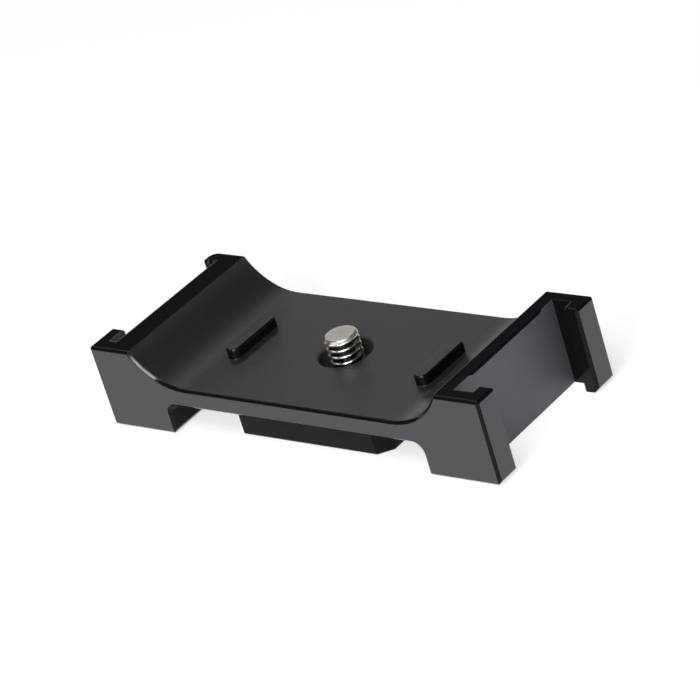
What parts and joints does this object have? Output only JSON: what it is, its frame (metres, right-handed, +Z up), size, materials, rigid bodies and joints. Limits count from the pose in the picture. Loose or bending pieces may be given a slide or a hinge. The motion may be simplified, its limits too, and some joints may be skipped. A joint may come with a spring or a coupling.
{
  "type": "camera cradle base plate with captive screw (base of a modular L-bracket)",
  "caption": "Milled black aluminium cradle base plate of a camera L-bracket: flat ribbed deck, upswept ends with vertical channels, feet, central boss and a captive camera screw.",
  "frame": {"origin": "Middle of the plate's footprint, on the surface that its feet and boss stand on.", "axes": "+Z is up, out of the deck and along the camera screw. +X runs along the plate's length, towards the end with the deeper channel. -Y is the front, the side nearest in the picture."},
  "size_m": [0.0896, 0.035, 0.0167],
  "materials": {
    "black_anodised": "bead-blasted, black anodised, satin; cut edges glossier",
    "nickel_steel": "bright, faintly warm",
    "black_oxide_steel": "black oxide, dull"
  },
  "bodies": {
    "plate": {"base_plate": "black_anodised"},
    "screw": {"camera_screw": "nickel_steel", "retaining_ring": "black_oxide_steel"}
  },
  "joints": [
    {"name": "screw_turn", "type": "hinge", "parent": "plate", "child": "screw", "pos_m": [0, 0.0007, 0], "axis": [0, 0, 1], "continuous": true}
  ]
}
